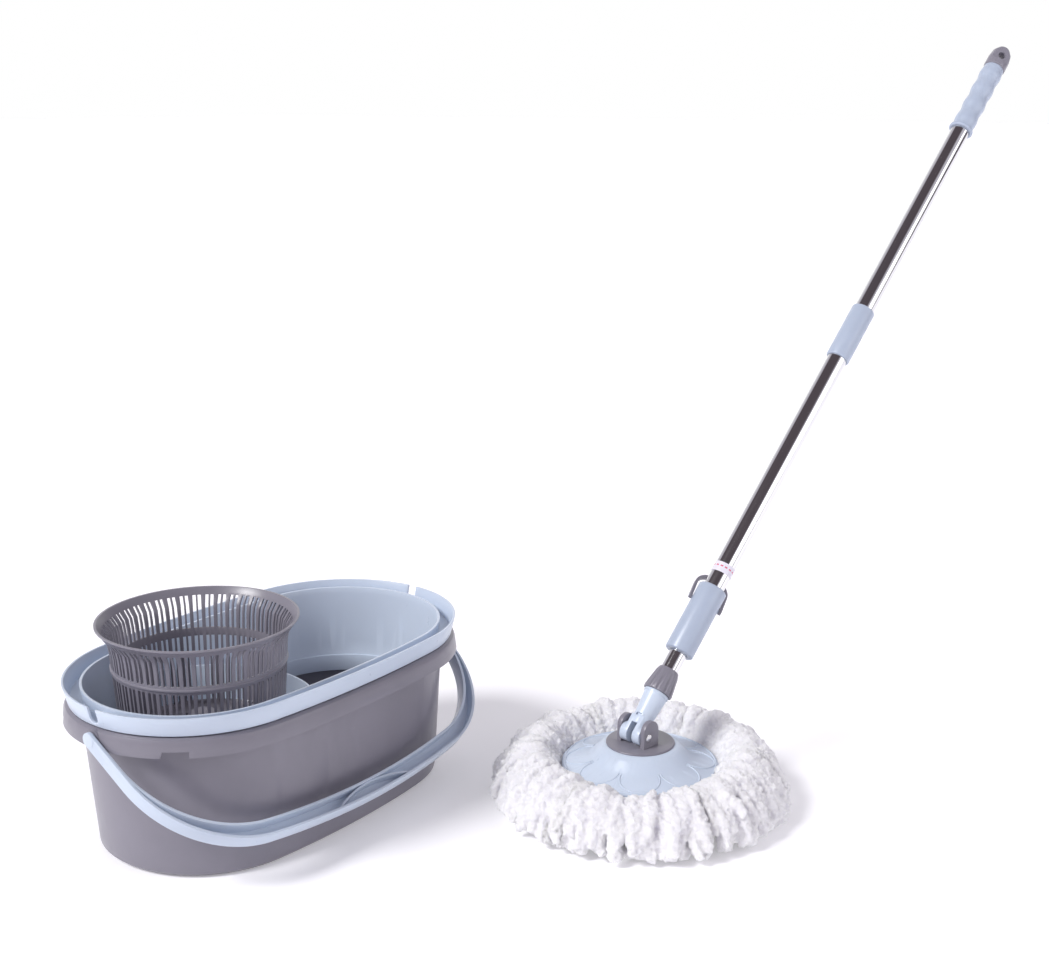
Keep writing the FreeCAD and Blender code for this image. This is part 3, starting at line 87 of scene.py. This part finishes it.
def room_card(direction, stops):
    """A soft-edged card: its brightness by how nearly a ray runs along one direction."""
    toward = room.nodes.new("ShaderNodeVectorMath")
    toward.operation = "DOT_PRODUCT"
    toward.inputs[1].default_value = Vector(direction).normalized()
    room.links.new(way.outputs["Generated"], toward.inputs[0])
    card = room.nodes.new("ShaderNodeValToRGB")
    while len(card.color_ramp.elements) < len(stops):
        card.color_ramp.elements.new(1.0)
    for element, (where_at, colour) in zip(card.color_ramp.elements, stops):
        element.position = where_at
        element.color = (*colour, 1)
    room.links.new(toward.outputs["Value"], card.inputs[0])
    return card.outputs[0]


def blend(kind, first, second):
    node = room.nodes.new("ShaderNodeMix")
    node.data_type = "RGBA"
    node.blend_type = kind
    node.inputs["Factor"].default_value = 1.0
    room.links.new(first, node.inputs["A"])
    room.links.new(second, node.inputs["B"])
    return node.outputs["Result"]


# dark cards: a long one over the left side for the broad stripe down the tubes, and a low one
# at the right for a thin line; behind and beside the camera the room is dimmer
white, dark, dim = (1, 1, 1), (0.17, 0.145, 0.15), (0.56, 0.54, 0.60)
card_side = room_card((-0.718, 0.068, 0.693), ((0.47, white), (0.57, dark)))
card_ends = room_card((0.686, -0.103, 0.721), ((0.13, white), (0.20, dark), (0.68, dark),
                                               (0.76, white)))
low_band = room_card((0, 0, 1), ((0.0, white), (0.012, dark), (0.15, dark), (0.20, white)))
right_side = room_card((0.51, -0.86, 0.0), ((0.72, white), (0.82, dark)))
black_card = blend("MULTIPLY", blend("LIGHTEN", card_side, card_ends),
                   blend("LIGHTEN", low_band, right_side))
backdrop = room_card((0.80, 0.59, 0.05), ((0.75, dim), (0.90, white)))
room.links.new(blend("MULTIPLY", black_card, backdrop), room.nodes["Background"].inputs["Color"])
room.nodes["Background"].inputs["Strength"].default_value = 1.0

bpy.ops.mesh.primitive_plane_add(size=80, location=(0, 0, 0))
floor = bpy.context.object
floor.name = "studio_floor"
sweep = bpy.data.materials.new("studio_floor")
sweep.use_nodes = True
sweep_shader = sweep.node_tree.nodes["Principled BSDF"]
sweep_shader.inputs["Base Color"].default_value = (0.93, 0.922, 0.95, 1)
sweep_shader.inputs["Roughness"].default_value = 0.8
sweep_shader.inputs["Emission Color"].default_value = (1, 1, 1, 1)
sweep_shader.inputs["Emission Strength"].default_value = 0.20
floor.data.materials.append(sweep)


# ------------------------------------------------------------------ moulded polypropylene
# Bucket, basket and fittings are warm grey polypropylene, and the tray, bail and sleeves
# light blue, all injection moulded with a satin skin that shows faint flow and handling.

def group_socket(tree, name, way_in, kind, value=None):
    socket = tree.interface.new_socket(name=name, in_out=way_in, socket_type=kind)
    if value is not None:
        socket.default_value = value


def noise_node(tree, coordinates, scale, detail=3.0, rough=0.5):
    node = tree.nodes.new("ShaderNodeTexNoise")
    node.inputs["Scale"].default_value = scale
    node.inputs["Detail"].default_value = detail
    node.inputs["Roughness"].default_value = rough
    tree.links.new(coordinates, node.inputs["Vector"])
    return node


def spread(tree, value, low, high, source=(0.3, 0.7)):
    """Maps a noise's middle range to low..high."""
    node = tree.nodes.new("ShaderNodeMapRange")
    node.inputs["From Min"].default_value = source[0]
    node.inputs["From Max"].default_value = source[1]
    node.inputs["To Min"].default_value = low
    node.inputs["To Max"].default_value = high
    tree.links.new(value, node.inputs["Value"])
    return node.outputs["Result"]


moulded = bpy.data.node_groups.new("moulded_skin", "ShaderNodeTree")
group_socket(moulded, "Colour", "INPUT", "NodeSocketColor", (0.5, 0.5, 0.5, 1))
group_socket(moulded, "Roughness", "INPUT", "NodeSocketFloat", 0.35)
group_socket(moulded, "Flow", "INPUT", "NodeSocketFloat", 0.05)
group_socket(moulded, "Colour", "OUTPUT", "NodeSocketColor")
group_socket(moulded, "Roughness", "OUTPUT", "NodeSocketFloat")
group_socket(moulded, "Normal", "OUTPUT", "NodeSocketVector")
inlet = moulded.nodes.new("NodeGroupInput")
outlet = moulded.nodes.new("NodeGroupOutput")
where = moulded.nodes.new("ShaderNodeTexCoord").outputs["Object"]
cloud = noise_node(moulded, where, 14.0, 4.0, 0.55)
tone = moulded.nodes.new("ShaderNodeMath")
tone.operation = "MULTIPLY_ADD"
moulded.links.new(spread(moulded, cloud.outputs["Fac"], -1.0, 1.0), tone.inputs[0])
moulded.links.new(inlet.outputs["Flow"], tone.inputs[1])
tone.inputs[2].default_value = 1.0
tint = moulded.nodes.new("ShaderNodeVectorMath")
tint.operation = "SCALE"
moulded.links.new(inlet.outputs["Colour"], tint.inputs[0])
moulded.links.new(tone.outputs[0], tint.inputs["Scale"])
moulded.links.new(tint.outputs[0], outlet.inputs["Colour"])
smear = noise_node(moulded, where, 55.0, 6.0, 0.65)
sheen = moulded.nodes.new("ShaderNodeMath")
sheen.operation = "ADD"
moulded.links.new(inlet.outputs["Roughness"], sheen.inputs[0])
moulded.links.new(spread(moulded, smear.outputs["Fac"], -0.03, 0.04), sheen.inputs[1])
moulded.links.new(sheen.outputs[0], outlet.inputs["Roughness"])
grain = noise_node(moulded, where, 1500.0, 2.0, 0.5)
ripple = moulded.nodes.new("ShaderNodeBump")
ripple.inputs["Strength"].default_value = 0.06
ripple.inputs["Distance"].default_value = 0.0002
moulded.links.new(grain.outputs["Fac"], ripple.inputs["Height"])
moulded.links.new(ripple.outputs[0], outlet.inputs["Normal"])


def moulded_plastic(name, colour, roughness, flow, scatter=0.0):
    material = bpy.data.materials.new(name)
    material.use_nodes = True
    tree = material.node_tree
    shader = tree.nodes["Principled BSDF"]
    skin = tree.nodes.new("ShaderNodeGroup")
    skin.node_tree = moulded
    skin.inputs["Colour"].default_value = (*colour, 1)
    skin.inputs["Roughness"].default_value = roughness
    skin.inputs["Flow"].default_value = flow
    tree.links.new(skin.outputs["Colour"], shader.inputs["Base Color"])
    tree.links.new(skin.outputs["Roughness"], shader.inputs["Roughness"])
    tree.links.new(skin.outputs["Normal"], shader.inputs["Normal"])
    shader.inputs["Specular IOR Level"].default_value = 0.5
    shader.inputs["Subsurface Weight"].default_value = scatter
    shader.inputs["Subsurface Radius"].default_value = (0.004, 0.005, 0.006)
    shader.inputs["Subsurface Scale"].default_value = 1.0
    return material


grey_plastic = moulded_plastic("grey_polypropylene", (0.212, 0.202, 0.240), 0.31, 0.06)
blue_plastic = moulded_plastic("light_blue_polypropylene", (0.555, 0.625, 0.735), 0.30, 0.02, 0.06)
# painted shade: the pole's sleeves, joint sleeve and grip are the same light blue polypropylene,
# given this darker copy of it so that they read less bright under the lights
pole_blue_painted_shade = moulded_plastic("pole_fitting_blue_painted_shade", (0.39, 0.445, 0.55), 0.32, 0.02, 0.06)
white_plastic = moulded_plastic("natural_nylon", (0.80, 0.80, 0.78), 0.45, 0.03)


def rounded_copy(node, name, body, width, turn=32, segments=2):
    """A moulding's own mesh, merged, with its sharp edges rounded as the mould leaves them."""
    source = frame["nodes"][node]
    piece = source.copy()
    piece.data = source.data.copy()
    piece.name = name
    piece.parent = None
    bpy.context.collection.objects.link(piece)
    bpy.ops.object.select_all(action="DESELECT")
    piece.select_set(True)
    bpy.context.view_layer.objects.active = piece
    bpy.ops.object.mode_set(mode="EDIT")
    bpy.ops.mesh.select_all(action="SELECT")
    bpy.ops.mesh.remove_doubles(threshold=1e-6)
    bpy.ops.mesh.dissolve_limited(angle_limit=math.radians(0.4))
    bpy.ops.object.mode_set(mode="OBJECT")
    if width > 0:
        bevel = piece.modifiers.new("edges", "BEVEL")
        bevel.width = width
        bevel.segments = segments
        bevel.limit_method = "ANGLE"
        bevel.angle_limit = math.radians(turn)
        bevel.harden_normals = False
        bpy.ops.object.modifier_apply(modifier="edges")
    bpy.ops.object.shade_smooth_by_angle(angle=math.radians(30))
    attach(piece, body)
    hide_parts(node)
    return piece


def finish_piece(piece, material):
    piece.data.materials.clear()
    piece.data.materials.append(material)
    return piece


for node, name, body, width in (
        ("bucket_shell", "bucket", "bucket_body", 0.0006),
        ("wringer_basket", "basket", "basket_body", 0.0003),
        ("hub_cap", "basket_hub_cap", "basket_body", 0.0004),
        ("hinge_plate", "hinge_plate_rounded", "mop_head", 0.0006),
        ("collet_nut", "clamp_nut", "neck_body", 0.0004),
        ("hang_cap", "end_cap", "pole_body", 0.0008),
        ("lock_lever", "lock_lever_rounded", "lever_body", 0.0008)):
    finish_piece(rounded_copy(node, name, body, width), grey_plastic)
for node, name, body, width in (
        ("wringer_tray", "tray", "tray_body", 0.0006),
        ("bail", "carrying_bail", "bail_body", 0.0006),
        ("neck", "pole_neck", "neck_body", 0.0006)):
    finish_piece(rounded_copy(node, name, body, width), blue_plastic)
# the sleeves and grip take the darker copy of the light blue, which is painted shade
for node, name, width in (("lock_sleeve", "sleeve_rounded", 0.0006),
                          ("mid_sleeve", "joint_sleeve", 0.0004), ("grip", "hand_grip", 0.0004)):
    finish_piece(rounded_copy(node, name, "pole_body", width), pole_blue_painted_shade)
for node in ("thrust_washer", "basket_bush", "refill_ring", "collet", "nut_housing", "drive_nut",
             "nut_retainer", "guide_bush", "coupler_insert", "rod_anchor"):
    frame["nodes"][node].material_slots[0].material = white_plastic


# ------------------------------------------------------------------ chrome and steel
# The poles are thin welded steel tube with a bright plated finish, drawn and polished along
# their length. Pins, screws, washers, the axle and the spiral rod are zinc-plated steel.

def bright_metal(name, colour, roughness, marks, along):
    material = bpy.data.materials.new(name)
    material.use_nodes = True
    tree = material.node_tree
    shader = tree.nodes["Principled BSDF"]
    shader.inputs["Base Color"].default_value = (*colour, 1)
    shader.inputs["Metallic"].default_value = 1.0
    place = tree.nodes.new("ShaderNodeTexCoord")
    turn = tree.nodes.new("ShaderNodeMapping")
    turn.vector_type = "TEXTURE"
    turn.inputs["Rotation"].default_value = along
    turn.inputs["Scale"].default_value = (1.0, 1.0, 30.0)
    tree.links.new(place.outputs["Object"], turn.inputs["Vector"])
    lines = noise_node(tree, turn.outputs[0], 260.0, 5.0, 0.6)
    tree.links.new(spread(tree, lines.outputs["Fac"], roughness - marks, roughness + marks),
                   shader.inputs["Roughness"])
    ripple = tree.nodes.new("ShaderNodeBump")
    ripple.inputs["Strength"].default_value = 0.05
    ripple.inputs["Distance"].default_value = 0.0002
    tree.links.new(lines.outputs["Fac"], ripple.inputs["Height"])
    tree.links.new(ripple.outputs[0], shader.inputs["Normal"])
    return material


joints = {joint["name"]: joint for joint in frame["joints"]}
pole_way = Vector(joints["pole_press"]["axis"])
pole_turn = pole_way.to_track_quat("Z", "Y").to_euler()
chrome = bright_metal("polished_chrome", (0.78, 0.78, 0.79), 0.10, 0.05, pole_turn)
steel = bright_metal("zinc_plated_steel", (0.62, 0.62, 0.63), 0.30, 0.08, (0, 0, 0))
for node in ("inner_pole", "lower_pole", "upper_pole"):
    frame["nodes"][node].material_slots[0].material = chrome
finish_piece(rounded_copy("hinge_pin", "domed_pin", "mop_head", 0.0005, 20, 3), chrome)
for node in ("basket_spindle", "retaining_washer", "spindle_screw", "plate_screws", "spiral_rod"):
    frame["nodes"][node].material_slots[0].material = steel


# ------------------------------------------------------------------ yarn head
# A thick fringe of fluffy white microfibre strands sewn to the refill ring. They spring up
# round the disc, fall over their own crest and lie on the floor in uneven clumps.

yarn_low, yarn_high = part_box("mop_yarn")
head = Vector(((yarn_low.x + yarn_high.x) / 2, (yarn_low.y + yarn_high.y) / 2, 0))
draw = random.Random(7)

# each layer: how many strands, and the (radius, height) points of its strands' route
LAYERS = (
    (70, ((0.060, 0.0270), (0.078, 0.0245), (0.098, 0.026), (0.118, 0.024), (0.134, 0.014),
          (0.142, 0.007))),
    (98, ((0.060, 0.0275), (0.079, 0.0285), (0.092, 0.040), (0.108, 0.043), (0.128, 0.034),
          (0.143, 0.020), (0.146, 0.008))),
    (96, ((0.060, 0.0280), (0.078, 0.0290), (0.089, 0.041), (0.099, 0.0545), (0.113, 0.0560),
          (0.130, 0.045), (0.142, 0.029), (0.147, 0.013))),
    (64, ((0.060, 0.0280), (0.079, 0.0300), (0.091, 0.047), (0.103, 0.0580), (0.119, 0.0560),
          (0.134, 0.042), (0.143, 0.024))),
    (34, ((0.079, 0.0320), (0.094, 0.050), (0.106, 0.0600), (0.122, 0.0560), (0.136, 0.040))),
)
SECTORS = 6
FRONT = math.radians(-148)
# spreads of a strand's sideways drift in radians, its share of extra length and its lift
DRIFT, STRETCH, LIFT, KINK = 0.055, 0.022, 0.0024, 0.018
THINNEST, THICKEST = 0.0043, 0.0062
# the crest is lowest at the front, where the head has been pressed down
FRONT_DIP, DIP_WIDTH, CREST = 0.17, 0.55, 0.035


def lay_strand(curve, start, route):
    """One strand: its own thickness, sideways drift, length and a few soft kinks."""
    drift = draw.gauss(0, DRIFT)
    stretch = draw.gauss(0, STRETCH)
    lift = draw.gauss(0, LIFT)
    thick = draw.uniform(THINNEST, THICKEST)
    bunch = 0.02 * math.sin(11 * start + 0.7) + 0.015 * math.sin(23 * start + 2.1)
    from_front = (start - FRONT + math.pi) % (2 * math.pi) - math.pi
    flat = 1 - FRONT_DIP * math.exp(-(from_front / DIP_WIDTH) ** 2)
    spline = curve.splines.new("NURBS")
    spline.points.add(len(route) - 1)
    for j, (far, high) in enumerate(route):
        share = j / (len(route) - 1)
        angle = start + (drift + bunch) * share + draw.gauss(0, KINK) * min(share * 2, 1)
        radius = far * (1 + stretch * share)
        up = max(high * (flat if high > CREST else 1) + lift * math.sin(math.pi * share),
                 thick * 0.9)
        spline.points[j].co = (head.x + radius * math.cos(angle),
                               head.y + radius * math.sin(angle), up, 1)
        spline.points[j].radius = thick * (1.1 if 0 < share < 1 else 0.8)
    spline.order_u = 3
    spline.use_endpoint_u = True


def cloud_texture(name, scale, depth):
    texture = bpy.data.textures.new(name, "CLOUDS")
    texture.noise_scale = scale
    texture.noise_depth = depth
    return texture


def apply_modifier(piece, kind, **settings):
    modifier = piece.modifiers.new(kind.lower(), kind)
    for key, value in settings.items():
        setattr(modifier, key, value)
    bpy.ops.object.modifier_apply(modifier=modifier.name)


curves = []
for sector in range(SECTORS):
    curve = bpy.data.curves.new("yarn_%d" % (sector + 1), "CURVE")
    curve.dimensions = "3D"
    curve.bevel_depth = 1.0
    curve.bevel_resolution = 3
    curve.resolution_u = 6
    curve.use_fill_caps = True
    curves.append(curve)
for level, (count, route) in enumerate(LAYERS):
    for i in range(count):
        start = 2 * math.pi * (i + 0.37 * level + draw.uniform(-0.3, 0.3)) / count
        sector = int(start / (2 * math.pi) * SECTORS) % SECTORS
        lay_strand(curves[sector], start, route)

FINE_VOXEL, QUICK_VOXEL, FLOOR_GAP = 0.0013, 0.0021, 0.0004
tufts = cloud_texture("tufts", 0.011, 1)
pile = cloud_texture("pile", 0.0052, 1)
fluff = cloud_texture("fluff", 0.0026, 1)
yarn_pieces = []
for curve in curves:
    strands = bpy.data.objects.new(curve.name, curve)
    bpy.context.collection.objects.link(strands)
    bpy.ops.object.select_all(action="DESELECT")
    strands.select_set(True)
    bpy.context.view_layer.objects.active = strands
    bpy.ops.object.convert(target="MESH")
    yarn = bpy.context.object
    apply_modifier(yarn, "REMESH", mode="VOXEL",
                   voxel_size=FINE_VOXEL)
    apply_modifier(yarn, "SMOOTH", iterations=2, factor=0.5)
    for texture, strength in ((tufts, 0.0045), (pile, 0.0038), (fluff, 0.0020)):
        apply_modifier(yarn, "DISPLACE", texture=texture, strength=strength, mid_level=0.5,
                       texture_coords="LOCAL")
    spots = np.empty(len(yarn.data.vertices) * 3)
    yarn.data.vertices.foreach_get("co", spots)
    spots[2::3] = np.maximum(spots[2::3], FLOOR_GAP)
    yarn.data.vertices.foreach_set("co", spots)
    bpy.ops.object.shade_smooth()
    yarn_pieces.append(yarn)

fluffy = bpy.data.materials.new("white_microfibre")
fluffy.use_nodes = True
weave = fluffy.node_tree
fibre = weave.nodes["Principled BSDF"]
spot = weave.nodes.new("ShaderNodeTexCoord").outputs["Object"]
fuzz = noise_node(weave, spot, 900.0, 5.0, 0.7)
tufts = noise_node(weave, spot, 120.0, 3.0, 0.6)
ramp = weave.nodes.new("ShaderNodeValToRGB")
ramp.color_ramp.elements[0].position = 0.35
ramp.color_ramp.elements[0].color = (0.80, 0.79, 0.825, 1)
ramp.color_ramp.elements[1].position = 0.62
ramp.color_ramp.elements[1].color = (0.88, 0.87, 0.895, 1)
weave.links.new(tufts.outputs["Fac"], ramp.inputs[0])
weave.links.new(ramp.outputs[0], fibre.inputs["Base Color"])
nap = weave.nodes.new("ShaderNodeBump")
nap.inputs["Strength"].default_value = 0.8
nap.inputs["Distance"].default_value = 0.0012
weave.links.new(fuzz.outputs["Fac"], nap.inputs["Height"])
weave.links.new(nap.outputs[0], fibre.inputs["Normal"])
fibre.inputs["Roughness"].default_value = 0.95
fibre.inputs["Sheen Weight"].default_value = 0.5
fibre.inputs["Sheen Roughness"].default_value = 0.4
fibre.inputs["Subsurface Weight"].default_value = 0.8
fibre.inputs["Subsurface Radius"].default_value = (0.014, 0.014, 0.015)
fibre.inputs["Subsurface Scale"].default_value = 1.0
for yarn in yarn_pieces:
    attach(yarn, "mop_head")
    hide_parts("mop_yarn")
    finish_piece(yarn, fluffy)


# ------------------------------------------------------------------ mop disc
# The round press-on disc is one light blue moulding. Overlapping rings stand up in relief
# round its flat skirt, like petals, and a fine step runs round its edge.

disc = rounded_copy("mop_disc", "petal_disc", "mop_head", 0.0004)
disc_low, disc_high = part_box("mop_disc")
disc_radius = (disc_high.x - disc_low.x) / 2
PETALS = 8
petal_radius = disc_radius * 0.25
petal_circle = disc_radius * 0.70
cone_foot = disc_radius * 0.63
reliefs = []
for i in range(PETALS + 1):
    turn = FRONT + 2 * math.pi * i / PETALS
    if i < PETALS:
        spot = head + Vector((math.cos(turn), math.sin(turn), 0)) * petal_circle
        ring_radius = petal_radius
    else:
        spot, ring_radius = head, disc_radius * 0.965
    bpy.ops.object.select_all(action="DESELECT")
    bpy.ops.mesh.primitive_circle_add(vertices=96, radius=ring_radius,
                                      location=(spot.x, spot.y, disc_high.z + 0.01))
    relief = bpy.context.object
    bpy.ops.object.transform_apply(location=True)
    apply_modifier(relief, "SHRINKWRAP", target=disc, wrap_method="PROJECT",
                   use_project_z=True, use_negative_direction=True,
                   use_positive_direction=False)
    bpy.ops.object.mode_set(mode="EDIT")
    bpy.ops.mesh.select_all(action="DESELECT")
    bpy.ops.object.mode_set(mode="OBJECT")
    for vertex in relief.data.vertices:
        vertex.select = (vertex.co - head).xy.length < cone_foot
    bpy.ops.object.mode_set(mode="EDIT")
    bpy.ops.mesh.delete(type="VERT")
    bpy.ops.object.mode_set(mode="OBJECT")
    bpy.ops.object.convert(target="CURVE")
    relief.data.bevel_depth = 0.0009
    relief.data.bevel_resolution = 2
    relief.data.use_fill_caps = True
    bpy.ops.object.convert(target="MESH")
    reliefs.append(relief)
bpy.ops.object.select_all(action="DESELECT")
for relief in reliefs:
    relief.select_set(True)
bpy.context.view_layer.objects.active = reliefs[0]
bpy.ops.object.join()
petals = bpy.context.object
petals.name = "petal_relief"
bpy.ops.object.shade_smooth()
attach(petals, "mop_head")
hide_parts("mop_disc")
finish_piece(disc, blue_plastic)
finish_piece(petals, blue_plastic)


# ------------------------------------------------------------------ marker band
# A printed film wrapped round the lower tube above the lock: pale, with one dashed red line.

film = bpy.data.materials.new("printed_film")
film.use_nodes = True
print_tree = film.node_tree
film_shader = print_tree.nodes["Principled BSDF"]
pole_spot = Vector(joints["pole_press"].get("pos_m", joints["pole_tilt"]["pos_m"]))
around_pole = print_tree.nodes.new("ShaderNodeMapping")
around_pole.vector_type = "TEXTURE"
around_pole.inputs["Location"].default_value = pole_spot
around_pole.inputs["Rotation"].default_value = pole_turn
print_tree.links.new(print_tree.nodes.new("ShaderNodeTexCoord").outputs["Object"],
                     around_pole.inputs["Vector"])
parts = print_tree.nodes.new("ShaderNodeSeparateXYZ")
print_tree.links.new(around_pole.outputs[0], parts.inputs[0])


def film_math(operation, *inputs):
    node = print_tree.nodes.new("ShaderNodeMath")
    node.operation = operation
    for socket, value in zip(node.inputs, inputs):
        if isinstance(value, (int, float)):
            socket.default_value = value
        else:
            print_tree.links.new(value, socket)
    return node.outputs[0]


band_low, band_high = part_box("marker_band")
band_height = ((band_low + band_high) / 2 - pole_spot).dot(pole_way)
turned_by = film_math("ARCTAN2", parts.outputs["Y"], parts.outputs["X"])
DASHES, DASH_LEVEL = 14.0, -0.2
dashes = film_math("GREATER_THAN", film_math("SINE", film_math("MULTIPLY", turned_by, DASHES)),
                   DASH_LEVEL)
LINE_ABOVE, LINE_HALF = 0.001, 0.0008
from_line = film_math("ABSOLUTE", film_math("SUBTRACT", parts.outputs["Z"],
                                            band_height + LINE_ABOVE))
line = film_math("LESS_THAN", from_line, LINE_HALF)
ink = print_tree.nodes.new("ShaderNodeMix")
ink.data_type = "RGBA"
ink.inputs["A"].default_value = (0.74, 0.71, 0.80, 1)
ink.inputs["B"].default_value = (0.62, 0.10, 0.18, 1)
print_tree.links.new(film_math("MULTIPLY", dashes, line), ink.inputs["Factor"])
print_tree.links.new(ink.outputs["Result"], film_shader.inputs["Base Color"])
film_shader.inputs["Roughness"].default_value = 0.28
frame["nodes"]["marker_band"].material_slots[0].material = film
